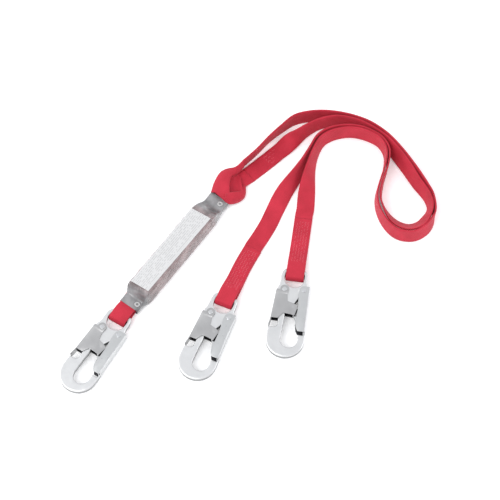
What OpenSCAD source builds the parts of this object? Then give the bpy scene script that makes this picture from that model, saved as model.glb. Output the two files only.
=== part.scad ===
// Twin-leg shock absorbing lanyard, lying on the plane z = 0. Millimetres, +Z up.
// A tear-out absorber pack sits between a short loop with the harness hook and a black
// loop that both webbing legs are choked onto. Each end carries a double-locking snap hook.
// Hook frame: origin at the centre of the hook's seat, +Y along the gate towards the eye,
// z = 0 in the middle of the forging.

/* [Webbing] */
// Width of the red webbing
web_w = 25; // [22:0.5:25.4]
// Thickness of the red webbing
web_t = 2.2; // [1.8:0.1:2.3]
// Length of the sewn, doubled webbing behind each leg hook
sewn_len = 88; // [70:1:95]

/* [Snap hook] */
// Radius of the seat inside the hook's bend
seat_r = 11.6; // [11:0.1:12]
// Radius of the outside of the bend
bend_r = 26.2; // [25.5:0.1:27]
// Thickness of the forged body
body_t = 9; // [8:0.5:9]
// Radius of the round bar that the webbing loop hangs on
eye_bar_r = 4.5; // [4:0.1:4.5]
// Sheet thickness of the gate
gate_sheet = 1.5; // [1.2:0.1:1.5]
// Sheet thickness of the lock lever
lever_sheet = 1.2; // [1:0.1:1.2]
// Radius of both rivets
rivet_r = 2.5; // [2:0.1:2.6]
// Clearance round a rivet in the part that turns on it
rivet_gap = 0.12; // [0.08:0.01:0.2]

// How far the gate's tab overlaps the lever's bar is set by the bar's radius from the rivet
bar_r = 41.3; // [41.1:0.1:41.4]

/* [Absorber pack] */
// Length of the pack between its two loops
pack_len = 208; // [200:1:212]
// Length of the two labels together
label_len = 143; // [130:1:150]
// Width of the labels
label_w = 33; // [28:1:34]
// Wall of the clear sleeve
sleeve_t = 0.8; // [0.6:0.1:1]
// Thickness of the folded tear webbing
tear_t = 2.6; // [2:0.1:2.7]

/* [Hidden] */
HOOKS = ["harness", "left", "right"];
HOOK_PARTS = ["hook_body", "hook_gate", "gate_rivet", "gate_spring",
              "lock_lever", "lever_rivet", "lever_spring"];
SOFT = ["pack_sleeve", "tear_webbing", "lower_label", "upper_label", "lower_eyelet",
        "upper_eyelet", "harness_loop", "black_loop", "choke_knot", "knot_stitching",
        "left_leg_webbing", "right_leg_webbing", "left_eye_loop", "right_eye_loop",
        "left_stitching", "right_stitching"];

zinc = [0.80, 0.81, 0.82];
red = [0.80, 0.15, 0.24];
eps = 0.01;

// The part's origin is under the middle of everything but the two legs.
centre = [-84, -50];

// Hook places: seat centre on the floor plane, and heading clockwise from +Y.
hook_mid_z = 9;
hook_at = [[-225.5, -193.3, 31.4], [-66.1, -174.7, 21.5], [52.3, -140.9, 8.15]];
eye_x = -4;
eye_y = 101;
gate_pivot = [11, 73.5];
lever_pivot = [-15.2, 73];
gate_in = 13;
gate_out = gate_in + 2 * gate_sheet;
lever_in = body_t + 0.8;
lever_out = lever_in + 2 * lever_sheet;
boss_r = 5.6;
boss_h = gate_in / 2 - 0.3;
pocket_r = 4.7;
pocket_floor = -1;
head_r = 3.2;
gate_face_x = 17.7;
$fn = 64;

module place() { translate([-centre.x, -centre.y, 0]) children(); }

module place_hook(i) {
  place() translate([hook_at[i].x, hook_at[i].y, hook_mid_z])
    rotate([0, 0, -hook_at[i][2]]) children();
}

// ---- Snap hook ---------------------------------------------------------------------

// Plate from the bend to the eye. The spine is cut back on its outer side, so that the
// lever's back can be pressed in.
module body_2d() {
  difference() {
    union() {
      intersection() {
        translate([-5.1, 0.2]) circle(r = bend_r);
        translate([-40, -40]) square([80, 43]);
      }
      polygon([[-11, 2], [-31.15, 2], [-31, 9], [-30, 16], [-24, 16], [-18.6, 21],
               [-18.6, 28], [-23.6, 60], [-24.2, 71], [-26, 73.6], [-23.5, 79], [-22.8, 87],
               [-22.8, 93], [-22.2, 98], [-20.6, 102], [-18, 104.6], [-16, 105.3],
               [8, 105.3], [10, 104.6], [12.2, 102], [13.4, 98], [13.8, 93], [13.8, 86],
               [15.6, 79.5], [16.2, 75], [16, 71.5], [12, 68], [5.2, 61.3], [0.7, 53.6],
               [-7, 49], [-10, 42], [-10, 30], [-11, 20]]);
      polygon([[11, 0], [20.95, 2], [21.4, 9], [21.1, 15], [20.6, 16], [19.7, 16],
               [19.6, 9.5], [18.6, 8.4], [11, 8.4]]);
    }
    circle(r = seat_r);
    translate([-seat_r + 0.2, 0]) square([2 * seat_r - 0.4, 12]);
    translate([-24, 21.6]) circle(r = 5.6);
    translate([eye_x, eye_y - 10]) circle(r = 13.2);
    translate([eye_x - 12.9, eye_y - 10]) square([25.8, 30]);
  }
}

module hook_body() {
  color(zinc) difference() {
    union() {
      linear_extrude(body_t, center = true) body_2d();
      translate([eye_x, eye_y, 0]) rotate([0, 90, 0]) cylinder(r = eye_bar_r, h = 29, center = true);
      translate(gate_pivot) cylinder(r = boss_r, h = 2 * boss_h, center = true);
    }
    for (p = [gate_pivot, lever_pivot]) {
      translate(p) cylinder(r = rivet_r, h = 30, center = true);
      translate([p.x, p.y, -10]) cylinder(r = pocket_r, h = 10 + pocket_floor);
    }
    // Slot for the gate spring's leg, towards the back of the gate
    translate([gate_pivot.x, gate_pivot.y - 4.6, -10]) cube([8, 2.2, 10 + pocket_floor]);
  }
}

module gate_cheek_2d() {
  difference() {
    polygon([[9.9, 12.6], [7, 18], [5.1, 26.6], [6.4, 35], [6.6, 48.4], [5.4, 61.4],
             [4.6, 70], [5.4, 75.5], [8, 79], [11, 79.9], [17.9, 79.9], [17.9, 12.6]]);
    translate(gate_pivot) circle(r = rivet_r + rivet_gap);
  }
}

// Folded sheet channel, open towards the throat, with a tab that the lever's bar blocks
module hook_gate() {
  color(zinc) {
    for (side = [0, 1])
      mirror([0, 0, side]) translate([0, 0, gate_in / 2]) linear_extrude(gate_sheet) gate_cheek_2d();
    translate([gate_face_x, 12.6, -gate_out / 2]) cube([gate_sheet, 67.3, gate_out]);
    linear_extrude(2 * 4.3, center = true)
      polygon([[gate_face_x + 0.5, 29.5], [gate_face_x + 0.5, 32.4], [8, 34.4], [2.3, 34.75],
               [2.5, 32.9], [8, 31]]);
  }
}

module rivet(half_len) {
  color(zinc) {
    cylinder(r = rivet_r, h = 2 * half_len, center = true);
    for (side = [0, 1])
      mirror([0, 0, side]) translate([0, 0, half_len - eps]) cylinder(r = head_r, h = 0.9);
  }
}

module gate_rivet() { translate(gate_pivot) rivet(gate_out / 2 + 0.06); }
module lever_rivet() { translate(lever_pivot) rivet(lever_out / 2 + 0.06); }

module lever_cheek_2d() {
  difference() {
    union() {
      polygon([[-28.5, 29], [-19, 29], [-12.9, 37.4], [-4, 37], [3.2, 36.1], [6.2, 49.7],
               [0.2, 53], [-8.8, 55.5], [-10.4, 66], [-9.4, 72], [-26.2, 72]]);
      translate(lever_pivot) circle(r = 6.1);
    }
    translate(lever_pivot) circle(r = rivet_r + rivet_gap);
  }
}

// Folded sheet lever over the spine. Its finger reaches across the throat, and the bar
// between the two finger tips follows an arc about the lever's rivet.
module lock_lever() {
  color(zinc) {
    for (side = [0, 1])
      mirror([0, 0, side]) translate([0, 0, lever_in / 2]) linear_extrude(lever_sheet) lever_cheek_2d();
    // Back, run on below the cheeks as a thumb tab
    linear_extrude(lever_out, center = true)
      polygon([[-30.9, 17.4], [-29.8, 17.4], [-28.7, 23], [-27.6, 29], [-25.4, 69], [-26.6, 69],
               [-28.8, 29], [-29.9, 23]]);
    linear_extrude(lever_in + 2 * eps, center = true) intersection() {
      translate(lever_pivot) difference() {
        circle(r = bar_r);
        circle(r = bar_r - 2);
      }
      translate(lever_pivot) polygon([[0, 0], 60 * [cos(-66.8), sin(-66.8)], 60 * [cos(-63.6), sin(-63.6)]]);
    }
  }
}

// ---- Swept shapes --------------------------------------------------------------------

function unit(v) = v / norm(v);
// Direction of travel at each point of a path
function along(p) = [for (i = [0:len(p) - 1]) unit(p[min(i + 1, len(p) - 1)] - p[max(i - 1, 0)])];

// Closed solid over a list of rings with the same number of points, each ring running
// counter-clockwise as seen along the path
module skin(rings) {
  n = len(rings);
  m = len(rings[0]);
  polyhedron(
    points = [for (ring = rings) each ring],
    faces = concat(
      [[for (k = [m - 1:-1:0]) k]],
      [for (i = [0:n - 2], k = [0:m - 1]) let (j = (k + 1) % m)
        each [[i * m + k, i * m + j, (i + 1) * m + j], [i * m + k, (i + 1) * m + j, (i + 1) * m + k]]],
      [[for (k = [0:m - 1]) (n - 1) * m + k]]),
    convexity = 8);
}

module wire(p, r, sides = 6) {
  dir = along(p);
  skin([for (i = [0:len(p) - 1])
    let (side = unit(cross(dir[i], [0.02, 0.03, 1])), up = cross(side, dir[i]))
      [for (k = [0:sides - 1]) p[i] + r * (cos(360 * k / sides) * side + sin(360 * k / sides) * up)]]);
}

// Flat webbing along a route of [x, y, roll]. At roll 0 it lies flat, and at 90 it stands on
// its edge; the lower edge always rests on the floor.
module ribbon(route) {
  flat = [for (p = route) [p.x, p.y, 0]];
  dir = along(flat);
  h = web_t / 2;
  w = web_w / 2;
  skin([for (i = [0:len(route) - 1])
    let (a = route[i].z, left = [-dir[i].y, dir[i].x, 0],
         wide = cos(a) * left + [0, 0, sin(a)], thick = cross(wide, dir[i]),
         mid = flat[i] + [0, 0, w * abs(sin(a)) + h * abs(cos(a)) + 0.05])
      [for (q = [[-w, h / 2], [-w, -h / 2], [-w + 1, -h], [w - 1, -h],
                 [w, -h / 2], [w, h / 2], [w - 1, h], [-w + 1, h]])
        mid + q.x * wide + q.y * thick]]);
}

// Torsion spring of round wire in its pocket, with a straight leg at its lower end
module torsion_spring(turns, start, leg, low) {
  coil_r = 3.7;
  pitch = 1.05;
  coil = [for (a = [0:24:360 * turns])
    [coil_r * cos(start + a), coil_r * sin(start + a), low + pitch * a / 360]];
  tangent = [-sin(start), cos(start), 0];
  color([0.6, 0.6, 0.62])
    wire(concat([coil[0] - leg * tangent, coil[0] - leg / 2 * tangent], coil), 0.45);
}

module gate_spring() { translate(gate_pivot) torsion_spring(3, 270, -5.8, -5.4); }
module lever_spring() { translate(lever_pivot) torsion_spring(2, 250, 0.6, -3.8); }

// ---- Sewn loops ----------------------------------------------------------------------

// Outline of a band of that width along a middle line
module band(line, width) {
  off = [for (d = along(line)) width / 2 * [-d.y, d.x]];
  n = len(line);
  polygon(concat([for (i = [0:n - 1]) line[i] + off[i]], [for (i = [n - 1:-1:0]) line[i] - off[i]]));
}

// Strap drawn from the side along a centre line of [along, height], and its width
module strap(line, width) {
  rotate([90, 0, 90]) linear_extrude(width, center = true) band(line, web_t);
}

// Half turn of a strap round a bar, from above to below
function turn(c, r, side) = [for (a = [90:22.5:270]) c + r * [-side * cos(a), sin(a)]];

// Leg webbing folded round the eye bar and back along itself. Height 0 is the bar's axis.
loop_r = eye_bar_r + 0.4 + web_t / 2;
low = web_t / 2 + 0.05 - hook_mid_z;
high = low + web_t + 0.1;

// The left leg stands off its hook's line: by skews at the bar, and by bends more in the lap
skews = [0, 1.5, 0];
bends = [0, 5.5, 0];
// The lap's middle line as seen from above, run on past its end by gap
function lap_line(bend, gap) =
  let (a = [0, 52], b = a + 8 * [sin(bend / 3), cos(bend / 3)],
       c = b + 8 * [sin(2 * bend / 3), cos(2 * bend / 3)])
    [[0, 44], a, b, c, c + (sewn_len - 68 + gap) * [sin(bend), cos(bend)]];

module eye_loop(i) {
  color(red) translate([eye_x, eye_y, 0]) rotate([0, 0, -skews[i]]) {
    strap(concat([[53, high], [52, high], [42, high + 0.6], [32, -3], [20, 2], [8, 5.4]],
                 turn([-4.8, 0], loop_r, -1), [[8, -6.6], [20, low], [53, low]]), web_w);
    for (z = [low, high]) translate([0, 0, z - web_t / 2])
      linear_extrude(web_t) intersection() {
        band(lap_line(bends[i], 0), web_w);
        translate([-50, 51]) square(100);
      }
  }
}

// Rows of raised thread on top of a sewn lap, from along to along + lap_len
module stitch_rows(lap_len, rows) {
  pitch = (web_w - 5) / (rows - 1);
  for (i = [0:rows - 1]) translate([(i - (rows - 1) / 2) * pitch - 0.3, 0, 0]) cube([0.6, lap_len, 0.35]);
}

module eye_stitching(i) {
  color([0.88, 0.35, 0.42]) translate([eye_x, eye_y, 0]) rotate([0, 0, -skews[i]])
    translate([0, 54, high + web_t / 2 + 0.02]) rotate([0, 0, -0.8 * bends[i]])
      stitch_rows(sewn_len - 58, 6);
}

// Short loop from the harness hook into the pack's lower end
module harness_loop() {
  color(red) difference() {
    translate([eye_x, eye_y, 0])
      strap(concat([[32, 1.4], [18, 1.5], [8, 5.2]], turn([-4.8, 0], loop_r, -1),
                   [[8, -6], [18, -5.2], [32, -5.1]]), web_w);
    // Clearance for the pack's lower eyelet, which goes through the loop's tails
    translate([eye_x + 9.6, eye_y + 26, -10]) cylinder(r = 4.2, h = 20);
  }
}

// ---- Absorber pack -------------------------------------------------------------------

// Pack frame: +Y along the pack towards the legs, x = 0 in the middle of the labels
pack_at = [-109.2, -12];
pack_turn = 36.4;
module place_pack() { place() translate([pack_at.x, pack_at.y, 0]) rotate([0, 0, -pack_turn]) children(); }

label_lo = -label_len / 2;
label_hi = label_len / 2;
pack_lo = label_lo - 25.5;
pack_hi = pack_lo + pack_len;

// Corner centres of the section: flat underneath, top face turned up on the right
FULL = [[17.2, 3.2], [16, 26.5], [-15.5, 19.8], [-15.8, 3.2]];
FLAT = [[13.8, 4.6], [13.8, 9.6], [-11.8, 9.6], [-11.8, 4.6]];
function pack_ring(y, t, shrink) = [for (c = [0:3], a = [-90:30:0])
  let (m = FULL[c] * (1 - t) + FLAT[c] * t, r = 3.2 - shrink, q = a + 90 * c)
    [m.x + r * cos(q), y, m.y + r * sin(q)]];
// Rings from one end to the other; over is how far the ends run past the sleeve's
function pack_rings(shrink, over) = [
  pack_ring(pack_lo - over, 1, shrink), pack_ring(pack_lo + 14, 1, shrink),
  pack_ring(label_lo - 4, 0.25, shrink), pack_ring(label_lo + 4, 0, shrink),
  pack_ring(label_hi - 4, 0, shrink), pack_ring(label_hi + 6, 0.2, shrink),
  pack_ring(pack_hi - 14, 1, shrink), pack_ring(pack_hi + over, 1, shrink)];

EYELETS = [[9.6, label_lo - 17], [8, label_hi + 31]];
module eyelet_hole(i) { translate([EYELETS[i].x, EYELETS[i].y, -1]) cylinder(r = 2.7, h = 40); }

module pack_sleeve() {
  color([0.72, 0.70, 0.70, 0.6]) difference() {
    skin(pack_rings(0, 0));
    skin(pack_rings(sleeve_t, 1));
    eyelet_hole(0);
    eyelet_hole(1);
  }
}

// Tubular eyelet through both walls of a flattened end, its rims outside the walls
module eyelet(i) {
  top = FLAT[1].y + 3.2 + 0.05;
  color([0.78, 0.77, 0.76]) translate([EYELETS[i].x, EYELETS[i].y, 0]) rotate_extrude()
    polygon([[1.7, 0.5], [3.8, 0.5], [3.8, 1.3], [2.6, 1.3], [2.6, top], [3.8, top],
             [3.8, top + 0.7], [1.7, top + 0.7]]);
}

// The absorber: one long doubled webbing folded to and fro, drawn from the side
module tear_webbing() {
  layers = 5;
  pitch = 3.4;
  half = label_len / 2 - 2;
  mid_r = (pitch + tear_t) / 2;
  color([0.70, 0.52, 0.52]) translate([0.5, 0, 4.2]) rotate([0, -8, 0])
    rotate([90, 0, 90]) linear_extrude(31, center = true) {
      for (k = [0:layers - 1]) translate([-half, k * pitch]) square([2 * half, tear_t]);
      for (k = [0:layers - 2]) translate([(k % 2 == 0 ? 1 : -1) * half, k * pitch + mid_r])
        difference() {
          circle(r = mid_r);
          circle(r = (pitch - tear_t) / 2);
          translate([k % 2 == 0 ? -20.3 : 0.3, -10]) square([20, 20]);
        }
    }
}

// Labels on the tilted top face; the lower one's end lies over the upper one's
label_split = label_lo + 0.435 * label_len;
top_tilt = atan2(FULL[1].y - FULL[2].y, FULL[1].x - FULL[2].x);
module label(from, to, lift, width) {
  color([0.93, 0.92, 0.91])
    translate([(FULL[1].x + FULL[2].x) / 2, 0, (FULL[1].y + FULL[2].y) / 2])
      rotate([0, -top_tilt, 0]) translate([-width / 2, from, 3.2 + lift]) cube([width, to - from, 0.25]);
}
module lower_label() { label(label_lo + 4, label_split + 1.5, 0.32, label_w - 2); }
module upper_label() { label(label_split - 1.5, label_hi - 4, 0.04, label_w - 2); }

module black_loop() {
  x0 = 1;
  color([0.10, 0.10, 0.11]) difference() {
    translate([x0, pack_hi, 8])
      strap(concat([[-16, 2.4], [-2, 2.4]], turn([9, 0], 4.9, 1), [[-2, -4], [-16, -4]]), web_w);
    translate([EYELETS[1].x, EYELETS[1].y, -10]) cylinder(r = 4.2, h = 40);
  }
}

// ---- Choke knot ----------------------------------------------------------------------

module roll(a, b, r) { hull() for (p = [a, b]) translate(p) sphere(r = r, $fn = 20); }

// Webbing bunched through the black loop, round its sides and back over itself
module choke_knot() {
  y0 = pack_hi + 9.5;
  color(red) {
    roll([-15.4, y0, 8.2], [18, y0, 8.2], 3.2);
    roll([-15.6, y0, 8.6], [-13, y0 + 22, 9], 3.4);
    roll([18, y0, 8.6], [21, y0 + 12, 8], 4.2);
    hull() for (p = [[-10, y0 + 22, 9], [2, y0 + 26, 10], [20, y0 + 14, 8], [16, y0 + 22, 7]])
      translate(p) scale([1, 1, 0.8]) sphere(r = 8, $fn = 24);
  }
}

// ---- Legs ----------------------------------------------------------------------------

// A vector turned clockwise
function turned(p, a) = [p.x * cos(a) + p.y * sin(a), p.y * cos(a) - p.x * sin(a)];
// The last two points of a leg, in line with its hook's lap
function lap_start(i) = [for (gap = [8, 0.4])
  let (h = hook_at[i][2], p = [hook_at[i].x, hook_at[i].y] + turned([eye_x, eye_y], h)
         + turned(lap_line(bends[i], gap)[4], h + skews[i]))
    [p.x, p.y, 180]];
// Routes are [x, y, roll], from the knot to the sewn lap
RIGHT_LEG = concat([
  [-11, 129, 96], [9, 149, 96], [27, 170, 95], [45, 187, 90], [64, 202, 82], [86, 208, 79],
  [109, 209, 79], [131, 206, 79], [152, 200, 79], [173, 190, 78], [194, 172, 72],
  [211, 149.5, 63], [225.5, 127, 60], [237, 108.5, 64], [246.5, 92, 69], [254.5, 75.5, 74],
  [258.5, 53, 84], [255.5, 40, 97], [246, 26, 103], [228, 16, 103], [206, 19, 102], [190, 34, 99],
  [180, 56, 96], [178, 78, 95], [184, 103, 95], [191, 125, 95], [193.2, 146, 96], [187.5, 161.7, 98],
  [177.3, 171.2, 100], [159, 179.5, 101], [140, 181.8, 101], [119.5, 177.5, 102], [103, 167, 104],
  [93, 148, 108], [87, 128, 118], [83, 108, 136], [80, 86, 162], [78, 63, 180]], lap_start(2));
LEFT_LEG = concat([
  [-2, 117.5, 0], [24, 140, 0], [44, 158, 0], [57, 168, 32], [69, 175.5, 60], [82, 185.5, 72],
  [100, 195.5, 78], [125, 201, 79], [151, 196, 79], [170.5, 186, 78], [191, 169.5, 72],
  [208, 147.5, 62], [222, 125, 62], [235, 101, 68], [249.5, 77.5, 74], [253, 60, 73],
  [245, 43, 56], [237, 35, 50], [225, 31, 48], [212, 33, 48], [199, 42, 55], [190, 57, 70],
  [184, 77, 82], [188, 102, 88], [195, 124, 93], [197, 147, 96], [190.3, 163.3, 98], [179, 173.5, 100],
  [160, 183, 101], [140, 185.8, 101], [117, 182.3, 102], [99, 171, 104], [88, 151, 108],
  [78, 132, 114], [65, 111, 127], [48.5, 87, 150], [36, 63, 178], [24.5, 37, 180]], lap_start(1));

module left_leg_webbing() { color(red) ribbon(LEFT_LEG); }
module right_leg_webbing() { color(red) ribbon(RIGHT_LEG); }

// Rows of thread on the flat start of the left leg, behind the knot
module knot_stitching() {
  a = LEFT_LEG[1];
  b = LEFT_LEG[2];
  color([0.88, 0.35, 0.42]) translate([a.x, a.y, web_t + 0.08])
    rotate([0, 0, atan2(b.y - a.y, b.x - a.x) - 90]) stitch_rows(norm([b.x - a.x, b.y - a.y]) - 2, 6);
}

// ---- Calls ---------------------------------------------------------------------------
for (i = [0:2]) {
  place_hook(i) hook_body();
  place_hook(i) hook_gate();
  place_hook(i) gate_rivet();
  place_hook(i) gate_spring();
  place_hook(i) lock_lever();
  place_hook(i) lever_rivet();
  place_hook(i) lever_spring();
}
place_pack() pack_sleeve();
place_pack() tear_webbing();
place_pack() lower_label();
place_pack() upper_label();
place_pack() eyelet(0);  // lower_eyelet
place_pack() eyelet(1);  // upper_eyelet
place_hook(0) harness_loop();
place_pack() black_loop();
place_pack() choke_knot();
place() knot_stitching();
place() left_leg_webbing();
place() right_leg_webbing();
place_hook(1) eye_loop(1);  // left_eye_loop
place_hook(2) eye_loop(2);  // right_eye_loop
place_hook(1) eye_stitching(1);  // left_stitching
place_hook(2) eye_stitching(2);  // right_stitching
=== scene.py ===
import math

import bmesh
import bpy
import mathutils
import numpy as np
from mathutils import Matrix, Vector


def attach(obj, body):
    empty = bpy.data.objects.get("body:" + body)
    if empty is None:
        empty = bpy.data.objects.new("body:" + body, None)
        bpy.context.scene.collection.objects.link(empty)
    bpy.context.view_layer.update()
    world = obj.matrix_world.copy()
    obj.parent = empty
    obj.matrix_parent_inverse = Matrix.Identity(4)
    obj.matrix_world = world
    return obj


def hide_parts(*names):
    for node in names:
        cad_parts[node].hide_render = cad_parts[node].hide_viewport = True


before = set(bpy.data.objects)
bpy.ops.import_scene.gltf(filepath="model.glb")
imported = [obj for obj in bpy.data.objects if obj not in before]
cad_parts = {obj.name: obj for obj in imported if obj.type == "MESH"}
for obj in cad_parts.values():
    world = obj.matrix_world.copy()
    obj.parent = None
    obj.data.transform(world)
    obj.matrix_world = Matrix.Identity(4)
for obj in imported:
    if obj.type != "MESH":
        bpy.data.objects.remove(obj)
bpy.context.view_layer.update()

# ---- Camera, floor and light -----------------------------------------------------------------
# The lanyard lies on a pale floor and is looked at from the hooks' side, 64 degrees up, through
# a long lens. Big soft lights hang over it.

MM = 0.001
PART_CENTRE = (-84, -50)        # the part's origin, in the millimetres of the routes below
VIEW_HEIGHT = math.radians(64)
VIEW_DISTANCE = 2.5
aim = Vector((-PART_CENTRE[0] * MM, -PART_CENTRE[1] * MM, 0))

camera = bpy.data.objects.new("camera", bpy.data.cameras.new("camera"))
bpy.context.collection.objects.link(camera)
camera.location = aim + VIEW_DISTANCE * Vector((0, -math.cos(VIEW_HEIGHT), math.sin(VIEW_HEIGHT)))
camera.rotation_euler = (math.radians(90) - VIEW_HEIGHT, 0, 0)
camera.data.lens = 129.1
camera.data.clip_end = 20
bpy.context.scene.camera = camera


def soft_light(name, place, size, watts):
    """A round area light turned towards the lanyard."""
    light = bpy.data.objects.new(name, bpy.data.lights.new(name, "AREA"))
    light.data.shape = "DISK"
    light.data.size = size
    light.data.energy = watts
    light.location = place
    light.rotation_euler = (aim - Vector(place)).to_track_quat("-Z", "Y").to_euler()
    bpy.context.collection.objects.link(light)


soft_light("overhead_light", (-0.8, -0.7, 1.8), 1.2, 17)
soft_light("left_light", (-1.5, 0.6, 1.0), 1.0, 9)
soft_light("right_light", (1.6, 0.1, 0.9), 0.8, 6)

world = bpy.data.worlds.new("studio")
bpy.context.scene.world = world
world.use_nodes = True
world.node_tree.nodes["Background"].inputs["Color"].default_value = (0.96, 0.97, 1.0, 1)
world.node_tree.nodes["Background"].inputs["Strength"].default_value = 0.95
bpy.context.scene.view_settings.view_transform = "Standard"

for thing in bpy.context.selected_objects:
    thing.select_set(False)
bpy.ops.mesh.primitive_plane_add(size=8, location=(0, 0, -0.0005))
floor = bpy.context.object
floor.name = "floor"
floor_finish = bpy.data.materials.new("floor_paper")
floor_finish.use_nodes = True
paper = floor_finish.node_tree.nodes["Principled BSDF"]
paper.inputs["Base Color"].default_value = (0.98, 0.98, 0.98, 1)
paper.inputs["Roughness"].default_value = 0.9
paper.inputs["Emission Color"].default_value = (1, 1, 1, 1)
paper.inputs["Emission Strength"].default_value = 0.16
floor.data.materials.append(floor_finish)

# ---- Leg webbing -----------------------------------------------------------------------------
# Two lengths of 25 mm red polyester webbing run from the choke knot round one big loop, side by
# side on their edges, and part to lie flat behind the two leg hooks.

WEB_WIDTH = 0.025
WEB_THICK = 0.0022
CLIMB = 0.02                    # length of a leg's end that climbs onto its lap
# Routes are x and y in millimetres and the roll in degrees: 0 is flat, 90 stands on its edge
RIGHT_LEG = [
    (-11, 129, 96), (9, 149, 96), (27, 170, 95), (45, 187, 90), (64, 202, 82), (86, 208, 79),
    (109, 209, 79), (131, 206, 79), (152, 200, 79), (173, 190, 78), (194, 172, 72),
    (211, 149.5, 63), (225.5, 127, 60), (237, 108.5, 64), (246.5, 92, 69), (254.5, 75.5, 74),
    (258.5, 53, 84), (255.5, 40, 97), (246, 26, 103), (228, 16, 103), (206, 19, 102), (190, 34, 99),
    (180, 56, 96), (178, 78, 95), (184, 103, 95), (191, 125, 95), (193.2, 146, 96), (187.5, 161.7, 98),
    (177.3, 171.2, 100), (159, 179.5, 101), (140, 181.8, 101), (119.5, 177.5, 102), (103, 167, 104),
    (93, 148, 108), (87, 128, 118), (83, 108, 136), (80, 86, 162), (78, 63, 180), (76.3, 54.7, 180),
    (75.1, 46.8, 180)]
LEFT_LEG = [
    (-2, 117.5, 0), (24, 140, 0), (44, 158, 0), (57, 168, 32), (69, 175.5, 60), (82, 185.5, 72),
    (100, 195.5, 78), (125, 201, 79), (151, 196, 79), (170.5, 186, 78), (191, 169.5, 72),
    (208, 147.5, 62), (222, 125, 62), (235, 101, 68), (249.5, 77.5, 74), (253, 60, 73),
    (245, 43, 56), (237, 35, 50), (225, 31, 48), (212, 33, 48), (199, 42, 55), (190, 57, 70),
    (184, 77, 82), (188, 102, 88), (195, 124, 93), (197, 147, 96), (190.3, 163.3, 98), (179, 173.5, 100),
    (160, 183, 101), (140, 185.8, 101), (117, 182.3, 102), (99, 171, 104), (88, 151, 108),
    (78, 132, 114), (65, 111, 127), (48.5, 87, 150), (36, 63, 178), (24.5, 37, 180),
    (7.8, 7.6, 180), (4.0, 0.6, 180)]


PATH_STEP = 0.004               # metres between the rings of a leg's mesh


def smooth_path(points, step=PATH_STEP):
    """Points at even steps on a smooth curve through the given ones, every column alike."""
    points = np.array(points, float)
    ends = np.vstack([2 * points[0] - points[1], points, 2 * points[-1] - points[-2]])
    fine = []
    for a, b, c, d in zip(ends, ends[1:], ends[2:], ends[3:]):
        for t in np.linspace(0, 1, 24, endpoint=False):
            fine.append(0.5 * (2 * b + (c - a) * t + (2 * a - 5 * b + 4 * c - d) * t ** 2
                               + (3 * b - a - 3 * c + d) * t ** 3))
    fine = np.vstack(fine + [points[-1]])
    run = np.r_[0, np.cumsum(np.linalg.norm(np.diff(fine[:, :3], axis=0), axis=1))]
    even = np.linspace(0, run[-1], max(int(round(run[-1] / step)), 4) + 1)
    return np.column_stack([np.interp(even, run, fine[:, k]) for k in range(points.shape[1])])


def webbing(name, path, across, width=WEB_WIDTH, thick=WEB_THICK, bulge=0):
    """A flat strap swept along path; across is its width's direction at each point. Width can
    change along it, and bulge arches its middle."""
    along = np.gradient(path, axis=0)
    along /= np.linalg.norm(along, axis=1)[:, None]
    across = across - (across * along).sum(1)[:, None] * along
    across /= np.linalg.norm(across, axis=1)[:, None]
    normal = np.cross(across, along)
    h = thick / 2
    flat = np.linspace(-0.47, 0.47, 9)
    section = ([(-0.5, -0.4 * h), (-0.5, 0.4 * h)] + [(x, h) for x in flat]
               + [(0.5, 0.4 * h), (0.5, -0.4 * h)] + [(x, -h) for x in flat[::-1]])
    width = np.broadcast_to(width, len(path))
    rings = [[path[i] + x * width[i] * across[i] + (y + bulge * (1 - 4 * x * x)) * normal[i]
              for x, y in section] for i in range(len(path))]
    m = len(section)
    faces = [(i * m + k, i * m + (k + 1) % m, (i + 1) * m + (k + 1) % m, (i + 1) * m + k)
             for i in range(len(path) - 1) for k in range(m)]
    faces += [tuple(range(m - 1, -1, -1)), tuple((len(path) - 1) * m + k for k in range(m))]
    mesh = bpy.data.meshes.new(name)
    mesh.from_pydata([tuple(p) for ring in rings for p in ring], [], faces)
    run = np.r_[0, np.cumsum(np.linalg.norm(np.diff(path, axis=0), axis=1))]
    weave = mesh.uv_layers.new(name="weave")
    for loop in mesh.loops:
        ring, k = divmod(loop.vertex_index, m)
        weave.data[loop.index].uv = (section[k][0] + 0.5, run[ring] / WEB_WIDTH)
    for face in mesh.polygons:
        face.use_smooth = len(face.vertices) == 4
    mesh.update()
    piece = bpy.data.objects.new(name, mesh)
    bpy.context.collection.objects.link(piece)
    recalculate(piece)
    return piece


def recalculate(piece):
    """Turns every face of a closed piece outwards."""
    pick(piece)
    bpy.ops.object.mode_set(mode="EDIT")
    bpy.ops.mesh.select_all(action="SELECT")
    bpy.ops.mesh.normals_make_consistent(inside=False)
    bpy.ops.object.mode_set(mode="OBJECT")


def pick(piece):
    """Leaves this piece alone selected and active."""
    bpy.ops.object.select_all(action="DESELECT")
    piece.select_set(True)
    bpy.context.view_layer.objects.active = piece


def lying(route):
    """The middle line and width direction of webbing whose lower edge rests on the floor."""
    rows = smooth_path([((x - PART_CENTRE[0]) * MM, (y - PART_CENTRE[1]) * MM, 0, roll)
                        for x, y, roll in route])
    along = np.gradient(rows[:, :3], axis=0)
    along /= np.linalg.norm(along, axis=1)[:, None]
    left = np.column_stack([-along[:, 1], along[:, 0], 0 * along[:, 0]])
    roll = np.radians(rows[:, 3])[:, None]
    across = np.cos(roll) * left + np.sin(roll) * np.array([0, 0, 1.0])
    path = rows[:, :3].copy()
    path[:, 2] = (WEB_WIDTH / 2 * np.abs(np.sin(roll)) + WEB_THICK / 2 * np.abs(np.cos(roll)))[:, 0] + 0.0001
    # The end climbs onto the lap's under layer and meets its upper one
    to_go = 1 - np.clip((len(path) - 1 - np.arange(len(path))) * PATH_STEP / CLIMB, 0, 1)
    path[:, 2] += (WEB_THICK + 0.0001) * to_go ** 2 * (3 - 2 * to_go)
    return path, across


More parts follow.
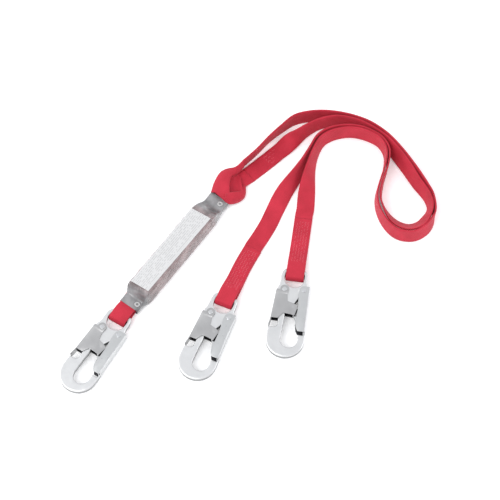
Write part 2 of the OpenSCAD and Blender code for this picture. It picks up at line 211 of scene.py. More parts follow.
def nodes_of(material):
    """The material's nodes, its links and its one surface shader."""
    material.use_nodes = True
    return material.node_tree.nodes, material.node_tree.links, material.node_tree.nodes["Principled BSDF"]


def sums_in(nodes, links):
    """A function that adds one sum of sockets or numbers to that material and gives its result."""
    def sum_of(operation, a, b=None):
        node = nodes.new("ShaderNodeMath")
        node.operation = operation
        for socket, value in zip(node.inputs, (a, b)):
            if isinstance(value, (int, float)):
                socket.default_value = value
            elif value is not None:
                links.new(value, socket)
        return node.outputs[0]
    return sum_of


def weave_map(nodes, links):
    """The weave UV map's node, and its two numbers: across the strap, and along it in widths."""
    uv = nodes.new("ShaderNodeUVMap")
    uv.uv_map = "weave"
    split = nodes.new("ShaderNodeSeparateXYZ")
    links.new(uv.outputs["UV"], split.inputs[0])
    return uv, split.outputs[0], split.outputs[1]


def woven(name, dark, light, ribs, roughness, sheen):
    """Woven tape: ribs run along it and thread crossings step over them, on the weave UV map."""
    material = bpy.data.materials.new(name + "_finish")
    nodes, links, skin = nodes_of(material)
    maths = sums_in(nodes, links)
    uv, u, v = weave_map(nodes, links)
    rib = maths("ABSOLUTE", maths("SINE", maths("MULTIPLY", u, math.pi * ribs)))
    zigzag = maths("PINGPONG", maths("MULTIPLY", u, ribs / 2), 1.0)
    steps = maths("ADD", maths("MULTIPLY", v, ribs * 0.8), zigzag)
    cross = maths("SINE", maths("MULTIPLY", steps, 2 * math.pi))
    crossing = maths("ADD", maths("MULTIPLY", cross, 0.3), 0.7)
    height = maths("MULTIPLY", rib, crossing)

    patches = nodes.new("ShaderNodeTexNoise")
    patches.inputs["Scale"].default_value = 45
    patches.inputs["Detail"].default_value = 4
    place = nodes.new("ShaderNodeTexCoord")
    links.new(place.outputs["Object"], patches.inputs["Vector"])
    fuzz = nodes.new("ShaderNodeTexNoise")
    fuzz.inputs["Scale"].default_value = 90
    links.new(uv.outputs["UV"], fuzz.inputs["Vector"])
    wear = maths("ADD", maths("MULTIPLY", patches.outputs[0], 0.45), maths("MULTIPLY", fuzz.outputs[0], 0.15))
    tone = maths("ADD", maths("MULTIPLY", height, 0.45), wear)
    ramp = nodes.new("ShaderNodeValToRGB")
    ramp.color_ramp.elements[0].position = 0.25
    ramp.color_ramp.elements[0].color = (*dark, 1)
    ramp.color_ramp.elements[1].position = 0.85
    ramp.color_ramp.elements[1].color = (*light, 1)
    links.new(tone, ramp.inputs[0])
    links.new(ramp.outputs[0], skin.inputs["Base Color"])
    bump = nodes.new("ShaderNodeBump")
    bump.inputs["Strength"].default_value = 0.5
    bump.inputs["Distance"].default_value = 0.0004
    links.new(height, bump.inputs["Height"])
    links.new(bump.outputs[0], skin.inputs["Normal"])
    skin.inputs["Roughness"].default_value = roughness
    skin.inputs["Sheen Weight"].default_value = sheen
    skin.inputs["Sheen Roughness"].default_value = 0.45
    skin.inputs["Sheen Tint"].default_value = (1.0, 0.75, 0.8, 1)
    skin.inputs["Specular IOR Level"].default_value = 0.35
    return material


def take_place(piece, node, finish):
    """Gives a piece its finish, lays it with the pack and webbing, and puts it in a CAD node's place."""
    piece.data.materials.append(finish)
    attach(piece, "pack_and_webbing")
    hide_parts(node)


red_webbing = woven("red_webbing", (0.34, 0.009, 0.022), (0.68, 0.030, 0.064), 20, 0.72, 0.1)
right_path, right_across = lying(RIGHT_LEG)
left_path, left_across = lying(LEFT_LEG)
for side, path, across in (("left", left_path, left_across), ("right", right_path, right_across)):
    leg = webbing(side + "_leg", path, across)
    take_place(leg, side + "_leg_webbing", red_webbing)

# ---- Snap hooks: the forged bodies -----------------------------------------------------------
# Each body is one drop forging with rounded corners, zinc plated. Nose, bend, spine and the eye
# with its round bar are all one piece, drawn once in a frame of its own and set down three times.

# Seat centre in millimetres, and heading in degrees clockwise from +Y
HOOKS = {"harness": (-225.5, -193.3, 31.4), "left": (-66.1, -174.7, 21.5), "right": (52.3, -140.9, 8.15)}
HOOK_MID = 9


def hook_matrix(hook):
    """From the hook's own millimetres to the frame's metres. The origin is the seat's centre."""
    x, y, heading = HOOKS[hook]
    return (Matrix.Translation(((x - PART_CENTRE[0]) * MM, (y - PART_CENTRE[1]) * MM, HOOK_MID * MM))
            @ Matrix.Rotation(-math.radians(heading), 4, "Z") @ Matrix.Scale(MM, 4))


def hook_part(part):
    """A copy of the harness hook's CAD piece in the hook's own millimetres, its doubles merged."""
    piece = bpy.data.objects.new(part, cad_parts["harness_" + part].data.copy())
    bpy.context.collection.objects.link(piece)
    piece.data.materials.clear()
    piece.data.transform(hook_matrix("harness").inverted())
    pick(piece)
    bpy.ops.object.mode_set(mode="EDIT")
    bpy.ops.mesh.select_all(action="SELECT")
    bpy.ops.mesh.remove_doubles(threshold=0.01)
    bpy.ops.mesh.normals_make_consistent(inside=False)
    bpy.ops.object.mode_set(mode="OBJECT")
    return piece


def flat_faces(piece):
    """Joins the triangles of each flat side into one face."""
    pick(piece)
    bpy.ops.object.mode_set(mode="EDIT")
    bpy.ops.mesh.select_all(action="SELECT")
    bpy.ops.mesh.dissolve_limited(angle_limit=math.radians(2))
    bpy.ops.object.mode_set(mode="OBJECT")


def apply_all(piece):
    """Applies every modifier, in order."""
    pick(piece)
    for modifier in list(piece.modifiers):
        bpy.ops.object.modifier_apply(modifier=modifier.name)


def round_edges(piece, width, weight_of, segments=4):
    """Bevels every sharp edge by its weight times width."""
    mesh = piece.data
    weights = mesh.attributes.new("bevel_weight_edge", "FLOAT", "EDGE")
    normals = {}
    for face in mesh.polygons:
        for key in face.edge_keys:
            normals.setdefault(key, []).append(face.normal.copy())
    for edge in mesh.edges:
        sides = normals[edge.key]
        if len(sides) == 2 and sides[0].angle(sides[1], 0) > math.radians(25):
            weights.data[edge.index].value = weight_of(*[mesh.vertices[v].co for v in edge.vertices])
    bevel = piece.modifiers.new("bevel", "BEVEL")
    bevel.limit_method = "WEIGHT"
    bevel.width = width
    bevel.segments = segments
    bevel.use_clamp_overlap = True
    apply_all(piece)
    pick(piece)
    bpy.ops.object.shade_smooth_by_angle(angle=math.radians(38))


def darken_inside(piece, reach):
    """Gives the faces between the cheeks, which look inwards, the second, near black finish: painted shade in
    the cavity between them.
    """
    for face in piece.data.polygons:
        if abs(face.center.z) < reach + 0.05 and face.normal.z * face.center.z < -0.5:
            face.material_index = 1


def set_down(piece, part, body, material):
    """Copies a piece from the hook's frame onto all three hooks, in place of their CAD nodes."""
    piece.data.materials.append(material)
    # The second slot holds the painted shade for the faces between the cheeks
    piece.data.materials.append(cavity_shade_steel)
    for hook in HOOKS:
        copy = bpy.data.objects.new(hook + "_" + part + "_visual", piece.data.copy())
        bpy.context.collection.objects.link(copy)
        copy.data.transform(hook_matrix(hook))
        copy.data.update()
        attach(copy, hook + body)
        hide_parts(hook + "_" + part)
    bpy.data.objects.remove(piece)


def plated(name, tone, roughness, blotch, grain):
    """Zinc plated steel: even grey with faint blotches and a finely dented surface."""
    material = bpy.data.materials.new(name + "_finish")
    nodes, links, skin = nodes_of(material)
    place = nodes.new("ShaderNodeTexCoord")

    def noise(scale, detail):
        node = nodes.new("ShaderNodeTexNoise")
        node.inputs["Scale"].default_value = scale
        node.inputs["Detail"].default_value = detail
        links.new(place.outputs["Object"], node.inputs["Vector"])
        return node.outputs[0]

    ramp = nodes.new("ShaderNodeValToRGB")
    ramp.color_ramp.elements[0].position = 0.3
    ramp.color_ramp.elements[0].color = (*[t * (1 - blotch) for t in tone], 1)
    ramp.color_ramp.elements[1].position = 0.7
    ramp.color_ramp.elements[1].color = (*tone, 1)
    links.new(noise(60, 5), ramp.inputs[0])
    links.new(ramp.outputs[0], skin.inputs["Base Color"])
    rough = nodes.new("ShaderNodeMapRange")
    rough.inputs["To Min"].default_value = roughness - 0.08
    rough.inputs["To Max"].default_value = roughness + 0.1
    links.new(noise(220, 3), rough.inputs["Value"])
    links.new(rough.outputs[0], skin.inputs["Roughness"])
    bump = nodes.new("ShaderNodeBump")
    bump.inputs["Strength"].default_value = grain
    bump.inputs["Distance"].default_value = 0.0002
    links.new(noise(900, 4), bump.inputs["Height"])
    links.new(bump.outputs[0], skin.inputs["Normal"])
    skin.inputs["Metallic"].default_value = 1.0
    return material


def shaded(nodes, links, tone, shade):
    """One colour multiplied by another."""
    mix = nodes.new("ShaderNodeMix")
    mix.data_type = "RGBA"
    mix.blend_type = "MULTIPLY"
    mix.inputs["Factor"].default_value = 1
    links.new(tone, mix.inputs["A"])
    links.new(shade, mix.inputs["B"])
    return mix.outputs["Result"]


# Near black steel for the inward faces between the cheeks: painted shade in the cavity
cavity_shade_steel = plated("cavity_shade_steel", (0.05, 0.05, 0.055), 0.5, 0.3, 0.3)
forged_steel = plated("forged_steel", (0.76, 0.765, 0.765), 0.36, 0.08, 0.35)
# Painted shade: round the middle of the forging's height its side walls are darkened, standing in for the shade
# along its outline
nodes, links, skin = nodes_of(forged_steel)
maths = sums_in(nodes, links)
place = nodes.new("ShaderNodeTexCoord")
split = nodes.new("ShaderNodeSeparateXYZ")
links.new(place.outputs["Object"], split.inputs[0])
side_wall_shade = nodes.new("ShaderNodeMapRange")
side_wall_shade.inputs["From Min"].default_value = 0.0012
side_wall_shade.inputs["From Max"].default_value = 0.0042
side_wall_shade.inputs["To Min"].default_value = 0.30
links.new(maths("ABSOLUTE", maths("SUBTRACT", split.outputs[2], HOOK_MID * MM)), side_wall_shade.inputs["Value"])
plate_tone = skin.inputs["Base Color"].links[0].from_socket
links.new(shaded(nodes, links, plate_tone, side_wall_shade.outputs[0]), skin.inputs["Base Color"])

# Even small faces all over, then worn smooth, round every corner of the forging
body = hook_part("hook_body")
remesh = body.modifiers.new("remesh", "REMESH")
remesh.mode = "VOXEL"
remesh.voxel_size = 0.55
apply_all(body)
relax = body.modifiers.new("relax", "SMOOTH")
relax.factor = 0.5
relax.iterations = 36
apply_all(body)
pick(body)
bpy.ops.object.shade_smooth()
set_down(body, "hook_body", "_hook", forged_steel)

# ---- Snap hooks: the gates -------------------------------------------------------------------
# Each gate is 1.5 mm zinc plated sheet folded to a channel whose web faces outwards. A tab
# inside it meets the lock lever's bar. It turns on a rivet through its cheeks and the forging.

gate_steel = plated("gate_steel", (0.62, 0.63, 0.63), 0.3, 0.06, 0.2)
gate = hook_part("hook_gate")
flat_faces(gate)


def gate_edge(a, b):
    """The folds are the two long outer edges. The cut edges are only broken."""
    folded_edge = min(a.x, b.x) > 19 and abs(a.z) > 7.9 and abs(a.y - b.y) > 20
    return 1.0 if folded_edge else 0.15


round_edges(gate, 2.2, gate_edge)
darken_inside(gate, 6.5)
set_down(gate, "hook_gate", "_gate", gate_steel)

# ---- Snap hooks: the lock levers -------------------------------------------------------------
# Each lever is 1.2 mm sheet folded over the spine, with a finger across the throat. A pressed
# ridge crosses its cheeks below the rivet. Pressing its back swings it and frees the gate.

lever_steel = plated("lever_steel", (0.50, 0.50, 0.50), 0.34, 0.1, 0.25)
LEVER_OUT = 6.1                 # half the lever's outside width
RIDGE = (65.6, 66.6)            # the pressed ridge's lower and upper edge
FINGER_ROOT = ((-8.8, 55.5), (-4, 37))
lever = hook_part("lock_lever")
flat_faces(lever)
pick(lever)
bpy.ops.object.mode_set(mode="EDIT")
form = bmesh.from_edit_mesh(lever.data)
# The cheeks step outwards above the ridge
for height in RIDGE:
    bmesh.ops.bisect_plane(form, geom=form.verts[:] + form.edges[:] + form.faces[:],
                           plane_co=(0, height, 0), plane_no=(0, 1, 0))
for vert in form.verts:
    if abs(vert.co.z) > LEVER_OUT - 0.1 and vert.co.y > RIDGE[1] - 0.1:
        vert.co.z += math.copysign(0.35, vert.co.z)


def outside(least_x, most_y):
    """The lever's flat outer faces right of least_x and below most_y."""
    return [f for f in form.faces if abs(f.normal.z) > 0.99 and abs(f.calc_center_median().z) > LEVER_OUT - 0.1
            and f.calc_center_median().x > least_x and f.calc_center_median().y < most_y]


# A crease crosses the root of the finger, and the finger itself is pressed in to a shallow pyramid
for face in outside(-100, 65):
    root = [v for v in face.verts for x, y in FINGER_ROOT if abs(v.co.x - x) + abs(v.co.y - y) < 0.3]
    if len(root) == 2:
        for edge in bmesh.ops.connect_verts(form, verts=root)["edges"]:
            edge.smooth = False
for face in outside(-3, 60):
    top = bmesh.ops.poke(form, faces=[face])["verts"][0]
    top.co = Vector((-0.8, 46.5, math.copysign(LEVER_OUT - 1.05, top.co.z)))
    for edge in top.link_edges:
        edge.smooth = False
bmesh.update_edit_mesh(lever.data)
bpy.ops.object.mode_set(mode="OBJECT")


def lever_edge(a, b):
    """The folds are the two long edges of its back."""
    folded_edge = max(a.x, b.x) < -25 and abs(a.z) > 6 and abs(a.y - b.y) > 20
    return 1.0 if folded_edge else 0.12


round_edges(lever, 2.6, lever_edge)
darken_inside(lever, 4.9)
set_down(lever, "lock_lever", "_lever", lever_steel)

# ---- Snap hooks: rivets and springs ----------------------------------------------------------
# Steel rivets with domed heads hold the gate and the lever. A wire torsion spring sits in a
# pocket of the forging under each cheek and presses gate and lever shut.

rivet_steel = plated("rivet_steel", (0.66, 0.67, 0.68), 0.28, 0.05, 0.1)
HEADS_FROM = 6.9                # the rivets' heads are farther than this from the hook's middle
for part in ("gate_rivet", "lever_rivet"):
    rivet = hook_part(part)
    flat_faces(rivet)
    round_edges(rivet, 0.6, lambda a, b: 1.0 if abs(a.z) > HEADS_FROM else 0.0)
    set_down(rivet, part, "_hook", rivet_steel)

spring_wire = plated("spring_wire", (0.30, 0.30, 0.31), 0.3, 0.05, 0.1)
for hook in HOOKS:
    for part in ("gate_spring", "lever_spring"):
        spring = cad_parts[hook + "_" + part]
        spring.data.materials.clear()
        spring.data.materials.append(spring_wire)

# ---- Eye loops -------------------------------------------------------------------------------
# Each leg's webbing goes down round the forged eye bar and back under itself, and the lap is
# sewn through. The left lap bends a little, in line with its leg.

EYE = Vector((-4, 101, 0))      # middle of the eye bar, in the hook's own millimetres
LAP = 88                        # from the bar to the end of the lap
BEND_FROM, BEND_TO = 46, 70     # where along it a lap bends
LOWER = WEB_THICK / MM / 2 + 0.05 - HOOK_MID
UPPER = LOWER + WEB_THICK / MM + 0.1


def half_turn(centre, radius, side):
    """Points of a half circle from above to below in [along, height], bulging to side -1 or 1."""
    return [(centre + side * radius * math.sin(a), radius * math.cos(a)) for a in np.linspace(0, math.pi, 9)]


def lap_bend(along, bend):
    """Sideways place and heading of the lap's middle line that far from the bar."""
    whole = math.radians(bend)
    past = max(along - BEND_FROM, 0)
    turn = whole * min(past / (BEND_TO - BEND_FROM), 1)
    if along > BEND_TO:
        return whole * (past - (BEND_TO - BEND_FROM) / 2), turn
    return turn * past / 2, turn


def side_view_loop(name, matrix, line, bend=0, step=1.2, bulge=0):
    """A strap whose middle line is drawn from the side as [along, height], set down by matrix."""
    rows = smooth_path([(0, y, z) for y, z in line], step=step)
    path, across = [], []
    for _, along, height in rows:
        aside, turn = lap_bend(along, bend)
        path.append(matrix @ Vector((aside, along, height)))
        across.append((matrix.to_3x3() @ Vector((math.cos(turn), -math.sin(turn), 0))).normalized())
    return webbing(name, np.array(path), np.array(across), bulge=bulge)


eye_line = ([(LAP, UPPER), (70, UPPER), (52, UPPER), (42, UPPER + 0.6), (32, -3), (20, 2), (8, 5.4)]
            + half_turn(-4.8, 6.0, -1)[1:-1] + [(8, -6.6), (20, LOWER), (40, LOWER), (64, LOWER), (LAP, LOWER)])
# Degrees off the hook's line at the bar, and more in the lap
LEG_LAPS = {"left": (1.5, 5.5), "right": (0, 0)}


def eye_matrix(hook, skew=0):
    """From a loop's own millimetres, its bar at the origin, to the frame's metres."""
    return hook_matrix(hook) @ Matrix.Translation(EYE) @ Matrix.Rotation(-math.radians(skew), 4, "Z")


for side, (skew, bend) in LEG_LAPS.items():
    loop = side_view_loop(side + "_eye_strap", eye_matrix(side, skew), eye_line, bend)
    take_place(loop, side + "_eye_loop", red_webbing)

# The harness hook's loop is short, and its tails go into the absorber pack
harness_line = ([(36, 1.4), (26, 1.4), (18, 1.6), (8, 5.2)] + half_turn(-4.8, 6.0, -1)[1:-1]
                + [(8, -6), (18, -5.2), (26, -5.1), (36, -5.1)])
loop = side_view_loop("harness_strap", eye_matrix("harness"), harness_line)
take_place(loop, "harness_loop", red_webbing)

# ---- Stitching -------------------------------------------------------------------------------
# The laps are sewn with zigzag rows of heavy pale red thread. Each stitch is a short raised
# bead of thread pulled down into the webbing at both ends.

THREAD = 0.42 * MM              # half the thread's thickness
red_thread = woven("red_thread", (0.55, 0.05, 0.08), (0.80, 0.16, 0.20), 6, 0.6, 0.1)


def stitches(name, node, ends):
    """One mesh of thread beads, each from one end to the other with its middle raised."""
    verts, faces = [], []
    for start, end in ends:
        along = (end - start).normalized()
        side = along.cross(Vector((0, 0, 1))).normalized()
        for share, fat in ((0, 0.35), (0.25, 0.95), (0.5, 1), (0.75, 0.95), (1, 0.35)):
            middle = start.lerp(end, share) + Vector((0, 0, THREAD * (fat - 0.75)))
            verts += [middle + fat * THREAD * (math.cos(a) * side + Vector((0, 0, 0.8 * math.sin(a))))
                      for a in np.linspace(0, 2 * math.pi, 6, endpoint=False)]
        # A bead is five rings of six points, closed at both ends
        first = len(verts) - 30
        faces += [(first + r * 6 + k, first + r * 6 + (k + 1) % 6, first + r * 6 + 6 + (k + 1) % 6,
                   first + r * 6 + 6 + k) for r in range(4) for k in range(6)]
        faces += [tuple(first + k for k in range(5, -1, -1)), tuple(first + 24 + k for k in range(6))]
    mesh = bpy.data.meshes.new(name)
    mesh.from_pydata([tuple(v) for v in verts], [], faces)
    weave = mesh.uv_layers.new(name="weave")
    for loop in mesh.loops:
        bead, k = divmod(loop.vertex_index, 30)
        weave.data[loop.index].uv = (k % 6 / 6, bead * 0.37 + k // 6 / 4)
    mesh.update()
    piece = bpy.data.objects.new(name, mesh)
    bpy.context.collection.objects.link(piece)
    recalculate(piece)
    pick(piece)
    bpy.ops.object.shade_smooth()
    take_place(piece, node, red_thread)


def zigzag(columns, pitch, first, last, stitch):
    """Stitches of zigzag columns side by side, as (x, along) pairs in millimetres."""
    pairs = []
    for column in range(columns):
        x = (column - (columns - 1) / 2) * pitch
        steps = int((last - first) / stitch)
        for i in range(steps):
            if (i * 7 + column * 3) % 11 < 9:       # the thread is worn down here and there
                lean = pitch * 0.28 * (1 if i % 2 else -1)
                pairs.append(((x - lean, first + i * stitch), (x + lean, first + (i + 0.85) * stitch)))
    return pairs


def top_layer(along):
    """Height of the lap's upper layer that far from the bar."""
    rows = smooth_path([(0, y, z) for y, z in eye_line[:7]], step=1.0)[::-1]
    return float(np.interp(along, rows[:, 1], rows[:, 2]))


for side, (skew, bend) in LEG_LAPS.items():
    at_eye = eye_matrix(side, skew)
    ends = []
    for pair in zigzag(5, 3.8, 16, 86, 2.6):
        pair = [Vector((x + lap_bend(y, bend)[0], y, top_layer(y) + WEB_THICK / MM / 2)) for x, y in pair]
        ends.append([at_eye @ point for point in pair])
    stitches(side + "_lap_stitches", side + "_stitching", ends)

a, b = [Vector(((x - PART_CENTRE[0]) * MM, (y - PART_CENTRE[1]) * MM, WEB_THICK + 0.0001))
        for x, y, roll in LEFT_LEG[1:3]]
turn = Matrix.Rotation(math.atan2((b - a).y, (b - a).x) - math.radians(90), 4, "Z") @ Matrix.Scale(MM, 4)
stitches("knot_end_stitches", "knot_stitching",
         [[a + turn @ Vector((x, y, 0)) for x, y in pair] for pair in zigzag(4, 4.6, 0, 22, 2.4)])

# ---- Absorber pack: frame and tear webbing ---------------------------------------------------
# The absorber is one strap of pinkish grey tear webbing folded to and fro in five layers. It tears
# open to take up a fall. It is drawn in the pack's own frame: along +Y, x = 0 mid label.

PACK_AT = (-109.2, -12)
PACK_TURN = 36.4
PACK_ENDS = (-97, 111)
LABEL_ENDS = (-71.5, 71.5)
pack_matrix = (Matrix.Translation(((PACK_AT[0] - PART_CENTRE[0]) * MM, (PACK_AT[1] - PART_CENTRE[1]) * MM, 0))
               @ Matrix.Rotation(-math.radians(PACK_TURN), 4, "Z") @ Matrix.Scale(MM, 4))

tear_finish = woven("tear_webbing", (0.25, 0.13, 0.12), (0.62, 0.42, 0.40), 26, 0.8, 0.1)
TEAR_HALF = 69                  # half a layer's length
TEAR_PITCH = 3.4                # from one layer to the next
TEAR_LAYERS = 5
line = []
for layer in range(TEAR_LAYERS):
    height = layer * TEAR_PITCH + 1.3
    way = 1 if layer % 2 == 0 else -1
    line += [(way * y, height) for y in np.linspace(-TEAR_HALF, TEAR_HALF, 8)]
    if layer < TEAR_LAYERS - 1:
        line.append((way * (TEAR_HALF + TEAR_PITCH / 2), height + TEAR_PITCH / 2))
tilt = pack_matrix @ Matrix.Translation((0.5, 0, 4.2)) @ Matrix.Rotation(-math.radians(8), 4, "Y")
rows = smooth_path([(0, y, z) for y, z in line], step=1.5)
# The edges of the layers wander a little, as the folds were pressed by hand
path = np.array([tilt @ Vector((0.5 * math.sin(0.11 * i), y, z)) for i, (_, y, z) in enumerate(rows)])
across = np.tile(np.array((tilt.to_3x3() @ Vector((1, 0, 0))).normalized()), (len(path), 1))
tear = webbing("folded_tear_webbing", path, across, width=0.031, thick=0.0024)
take_place(tear, "tear_webbing", tear_finish)

# ---- Absorber pack: clear sleeve -------------------------------------------------------------
# A thin clear film sleeve is shrunk over the absorber. Its ends are pressed flat round the two
# loops and look grey, and the film is creased all over. The top face is higher on the right.

# Corner centres of the full and the pressed section, in [across, height]
FULL = [(17.2, 3.2), (16, 26.5), (-15.5, 19.8), (-15.8, 3.2)]
FLAT = [(13.8, 4.6), (13.8, 9.6), (-11.8, 9.6), (-11.8, 4.6)]
CORNER = 3.2
# Place along the sleeve, and how flat it is pressed there from 0 to 1
FLATNESS = [(-97, 1), (-83, 1), (-75.5, 0.25), (-67.5, 0), (67.5, 0), (77.5, 0.2), (97, 1), (111, 1)]


def creases(point, scale):
    """Sharp shallow valleys at that point, from 0 to 1."""
    return 1 - abs(mathutils.noise.noise(Vector(point) * scale)) * 2


def sleeve_ring(y):
    """The sleeve's outline that far along the pack, with its dents."""
    t = float(np.interp(y, *zip(*FLATNESS)))
    t = t * t * (3 - 2 * t)
    outline = []
    for c in range(4):
        here, there = [Vector(FULL[k]) * (1 - t) + Vector(FLAT[k]) * t for k in (c, (c + 1) % 4)]
        start = math.radians(-90 + 90 * c)
        outline += [here + CORNER * Vector((math.cos(start + q), math.sin(start + q)))
                    for q in np.linspace(0, math.pi / 2, 6)]
        side = Vector((math.cos(start + math.pi / 2), math.sin(start + math.pi / 2))) * CORNER
        outline += [here.lerp(there, s) + side for s in np.linspace(0, 1, 9)[1:-1]]
    middle = Vector((0.5, 10))
    ring = []
    for p in outline:
        dent = 0.55 * creases((p.x, y * 0.45, p.y), 0.16) + 0.3 * creases((p.x + 40, y, p.y), 0.35)
        out = (p - middle).normalized()
        ring.append(Vector((p.x, y, p.y)) - (0.25 + dent) * Vector((out.x, 0, out.y)))
    return ring


rings = [sleeve_ring(y) for y in np.arange(PACK_ENDS[0], PACK_ENDS[1] + 0.1, 1.6)]
around = len(rings[0])
mesh = bpy.data.meshes.new("sleeve_film")
mesh.from_pydata([tuple(p) for ring in rings for p in ring], [],
                 [(i * around + k, i * around + (k + 1) % around, (i + 1) * around + (k + 1) % around,
                   (i + 1) * around + k) for i in range(len(rings) - 1) for k in range(around)])
along_map = mesh.uv_layers.new(name="weave")
for loop in mesh.loops:
    ring, k = divmod(loop.vertex_index, around)
    along_map.data[loop.index].uv = (k / around, ring / (len(rings) - 1))
sleeve = bpy.data.objects.new("sleeve_film", mesh)
bpy.context.collection.objects.link(sleeve)
mesh.transform(pack_matrix)
recalculate(sleeve)
wall = sleeve.modifiers.new("wall", "SOLIDIFY")
wall.thickness = 0.0004
wall.offset = -1
apply_all(sleeve)
pick(sleeve)
bpy.ops.object.shade_smooth_by_angle(angle=math.radians(50))

film = bpy.data.materials.new("clear_sleeve_finish")
nodes, links, skin = nodes_of(film)
along_it = weave_map(nodes, links)[2]
# It is dense where its ends are pressed together, and lets the tear webbing show between them
cover = nodes.new("ShaderNodeValToRGB")
cover.color_ramp.elements[0].position = 0.09
cover.color_ramp.elements[0].color = (0.93, 0.93, 0.93, 1)
cover.color_ramp.elements[1].position = 0.15
cover.color_ramp.elements[1].color = (0.42, 0.42, 0.42, 1)
for place, value in ((0.80, 0.42), (0.86, 0.93)):
    stop = cover.color_ramp.elements.new(place)
    stop.color = (value, value, value, 1)
links.new(along_it, cover.inputs[0])
links.new(cover.outputs[0], skin.inputs["Alpha"])
place = nodes.new("ShaderNodeTexCoord")
haze = nodes.new("ShaderNodeTexNoise")
haze.inputs["Scale"].default_value = 55
haze.inputs["Detail"].default_value = 6
links.new(place.outputs["Object"], haze.inputs["Vector"])
tint = nodes.new("ShaderNodeValToRGB")
tint.color_ramp.elements[0].position = 0.35
tint.color_ramp.elements[0].color = (0.42, 0.42, 0.42, 1)
tint.color_ramp.elements[1].position = 0.65
tint.color_ramp.elements[1].color = (1, 1, 1, 1)
links.new(haze.outputs[0], tint.inputs[0])
tone = nodes.new("ShaderNodeMix")
tone.data_type = "RGBA"
tone.inputs["A"].default_value = (0.62, 0.50, 0.50, 1)
tone.inputs["B"].default_value = (0.30, 0.295, 0.30, 1)
press = nodes.new("ShaderNodeMapRange")
press.inputs["From Min"].default_value = 0.5
press.inputs["From Max"].default_value = 0.9
links.new(cover.outputs[0], press.inputs["Value"])
links.new(press.outputs[0], tone.inputs["Factor"])
links.new(shaded(nodes, links, tone.outputs["Result"], tint.outputs[0]), skin.inputs["Base Color"])
bump = nodes.new("ShaderNodeBump")
bump.inputs["Strength"].default_value = 0.6
bump.inputs["Distance"].default_value = 0.0012
links.new(haze.outputs[0], bump.inputs["Height"])
links.new(bump.outputs[0], skin.inputs["Normal"])
skin.inputs["Roughness"].default_value = 0.24
skin.inputs["Coat Weight"].default_value = 0.5
take_place(sleeve, "pack_sleeve", film)

# ---- Absorber pack: labels -------------------------------------------------------------------
# Two white film labels lie end to end on the sleeve's top, the lower one's edge over the upper
# one's. They carry rows of plain grey bars in place of writing, and are slightly creased.

LABEL_HALF = 15.5               # half the labels' width at their lower end
SPLIT = -9.3                    # where the two meet
top_tilt = math.atan2(FULL[1][1] - FULL[2][1], FULL[1][0] - FULL[2][0])
top_middle = Matrix.Translation(((FULL[1][0] + FULL[2][0]) / 2, 0, (FULL[1][1] + FULL[2][1]) / 2))
label_face = pack_matrix @ top_middle @ Matrix.Rotation(-top_tilt, 4, "Y")

label_film = bpy.data.materials.new("label_film_finish")
nodes, links, skin = nodes_of(label_film)
maths = sums_in(nodes, links)
across_it, along_it = weave_map(nodes, links)[1:]
BAR_ROWS = 11
rows_across = maths("MULTIPLY", across_it, BAR_ROWS)
in_row = maths("LESS_THAN", maths("FRACT", rows_across), 0.42)
stretch = nodes.new("ShaderNodeCombineXYZ")
links.new(maths("MULTIPLY", maths("FLOOR", rows_across), 7.3), stretch.inputs[0])
links.new(maths("MULTIPLY", along_it, 3.2), stretch.inputs[1])
bars = nodes.new("ShaderNodeTexNoise")
bars.inputs["Scale"].default_value = 2.2
links.new(stretch.outputs[0], bars.inputs["Vector"])
printed = maths("MULTIPLY", in_row, maths("GREATER_THAN", bars.outputs[0], 0.47))
inside = maths("LESS_THAN", maths("ABSOLUTE", maths("SUBTRACT", across_it, 0.5)), 0.42)
printed = maths("MULTIPLY", printed, inside)
ink = nodes.new("ShaderNodeMix")
ink.data_type = "RGBA"
ink.inputs["A"].default_value = (0.57, 0.57, 0.57, 1)
ink.inputs["B"].default_value = (0.44, 0.44, 0.44, 1)
links.new(printed, ink.inputs["Factor"])
links.new(ink.outputs["Result"], skin.inputs["Base Color"])
skin.inputs["Roughness"].default_value = 0.45

for name, low_end, high_end, lift in (("lower", LABEL_ENDS[0] + 2, SPLIT + 1.5, 0.45),
                                      ("upper", SPLIT - 1.5, LABEL_ENDS[1] - 2, 0.12)):
    columns = np.linspace(-LABEL_HALF, LABEL_HALF, 19)
    lines = np.linspace(low_end, high_end, int(high_end - low_end))
    verts = []
    for y in lines:
        for x in columns:
            # The edges follow the sleeve's rounded corners, and the film is cockled
            z = CORNER + lift - 0.5 * (abs(x) / LABEL_HALF) ** 8
            z += 0.22 * mathutils.noise.noise(Vector((x * 0.12, y * 0.07, 3)))
            spread = 1 + 0.1 * (y - LABEL_ENDS[0]) / (LABEL_ENDS[1] - LABEL_ENDS[0])
            verts.append(label_face @ Vector((x * spread, y, z)))
    wide = len(columns)
    mesh = bpy.data.meshes.new(name + "_label_film")
    mesh.from_pydata([tuple(v) for v in verts], [],
                     [(i * wide + k, i * wide + k + 1, (i + 1) * wide + k + 1, (i + 1) * wide + k)
                      for i in range(len(lines) - 1) for k in range(wide - 1)])
    weave = mesh.uv_layers.new(name="weave")
    for loop in mesh.loops:
        i, k = divmod(loop.vertex_index, wide)
        weave.data[loop.index].uv = (k / (wide - 1), lines[i] / (2 * LABEL_HALF))
    label = bpy.data.objects.new(name + "_label_film", mesh)
    bpy.context.collection.objects.link(label)
    sheet = label.modifiers.new("sheet", "SOLIDIFY")
    sheet.thickness = 0.00025
    sheet.offset = 1
    apply_all(label)
    pick(label)
    bpy.ops.object.shade_smooth_by_angle(angle=math.radians(40))
    take_place(label, name + "_label", label_film)

# ---- Absorber pack: eyelets ------------------------------------------------------------------
# A rolled metal eyelet goes through each flattened end and holds the loop's tails.

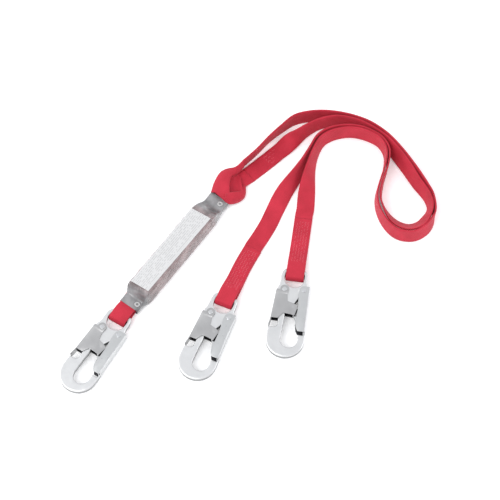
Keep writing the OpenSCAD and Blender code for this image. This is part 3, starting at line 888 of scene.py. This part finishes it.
eyelet_metal = plated("eyelet_metal", (0.62, 0.61, 0.60), 0.3, 0.1, 0.2)
for name in ("lower_eyelet", "upper_eyelet"):
    eyelet = bpy.data.objects.new(name + "_rolled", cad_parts[name].data.copy())
    bpy.context.collection.objects.link(eyelet)
    eyelet.data.materials.clear()
    pick(eyelet)
    bpy.ops.object.mode_set(mode="EDIT")
    bpy.ops.mesh.select_all(action="SELECT")
    bpy.ops.mesh.remove_doubles(threshold=0.00001)
    bpy.ops.mesh.normals_make_consistent(inside=False)
    bpy.ops.object.mode_set(mode="OBJECT")
    flat_faces(eyelet)
    round_edges(eyelet, 0.0003, lambda a, b: 1.0, segments=3)
    take_place(eyelet, name, eyelet_metal)

# ---- Black loop ------------------------------------------------------------------------------
# A loop of black webbing comes out of the pack's upper end, and the legs are choked onto it.

black_webbing = woven("black_webbing", (0.006, 0.006, 0.007), (0.035, 0.033, 0.034), 20, 0.75, 0.1)
black_line = ([(-16, 2.4), (-8, 2.4), (-2, 2.4), (4, 3)] + half_turn(7, 3.4, 1)[1:-1]
              + [(4, -3.6), (-2, -3.9), (-8, -4), (-16, -4)])
loop = side_view_loop("black_strap", pack_matrix @ Matrix.Translation((1, PACK_ENDS[1], 8)), black_line)
take_place(loop, "black_loop", black_webbing)

# ---- Choke knot ------------------------------------------------------------------------------
# The legs' shared end is drawn through the black loop and back over itself. One wide fold arches
# over the top into the right leg, a second fans out in front, and a roll closes the front.


def folded(name, left, right, bulge):
    """A stretch of webbing between two edges given as points in the frame's millimetres."""
    left, right = [smooth_path(edge, step=1.5) for edge in (left, right)]
    count = max(len(left), len(right))
    share = np.linspace(0, 1, count)
    left, right = [np.column_stack([np.interp(share, np.linspace(0, 1, len(edge)), edge[:, k])
                                    for k in range(3)]) * MM for edge in (left, right)]
    across = right - left
    return webbing(name, (left + right) / 2, across, width=np.linalg.norm(across, axis=1), bulge=bulge)


over = folded("knot_over",
              [(29, 135, 13.5), (31, 138.5, 14.5), (34, 149, 15.5), (38, 158, 16.5), (43, 165, 17.5),
               (51, 168.5, 18), (58.5, 169.5, 18.5), (66, 172, 21), (73.9, 178.1, 25)],
              [(51.5, 119.5, 15), (53.5, 122, 16), (53, 131, 17), (53, 141, 17), (55, 151, 17),
               (59, 158.5, 16), (63, 163, 11), (66.5, 168.5, 6), (70, 175, 2.5), (72.1, 179.9, 0.1)], 0.003)
front = folded("knot_front", [(54, 171, 9), (53, 158, 11), (49, 148, 12), (46, 138, 12.5), (45, 126, 12)],
               [(67, 170, 5), (71, 159, 8), (73, 148, 9.5), (74.5, 139, 10), (74.5, 130, 8)], 0.0045)
roll = folded("knot_roll",
              [(46.5, 130, 19), (54, 131, 19), (62, 132, 18), (68, 134, 15), (71.5, 140, 10), (73, 149, 6)],
              [(49.5, 120.5, 15.5), (56, 118, 8), (64, 121, 4), (71, 126, 2), (76, 133, 2), (74.5, 147.5, 2)],
              0.0035)
# The left leg's end comes out between the folds, and the under side of the choke closes the back
tail = folded("knot_tail", [(58, 158, 4), (66, 168, 3.5), (73.8, 177, 1.2)],
              [(68, 138, 5), (78, 148, 3.5), (90.2, 158, 1.2)], 0.0001)
under = folded("knot_under", [(31, 137, 4), (38, 152, 4), (48, 163, 4), (60, 168, 3), (70, 175, 2)],
               [(46, 124, 3), (56, 132, 3), (66, 141, 3), (72, 150, 3), (74, 160, 2)], 0.001)
for piece in (over, front, roll, tail, under):
    take_place(piece, "choke_knot", red_webbing)
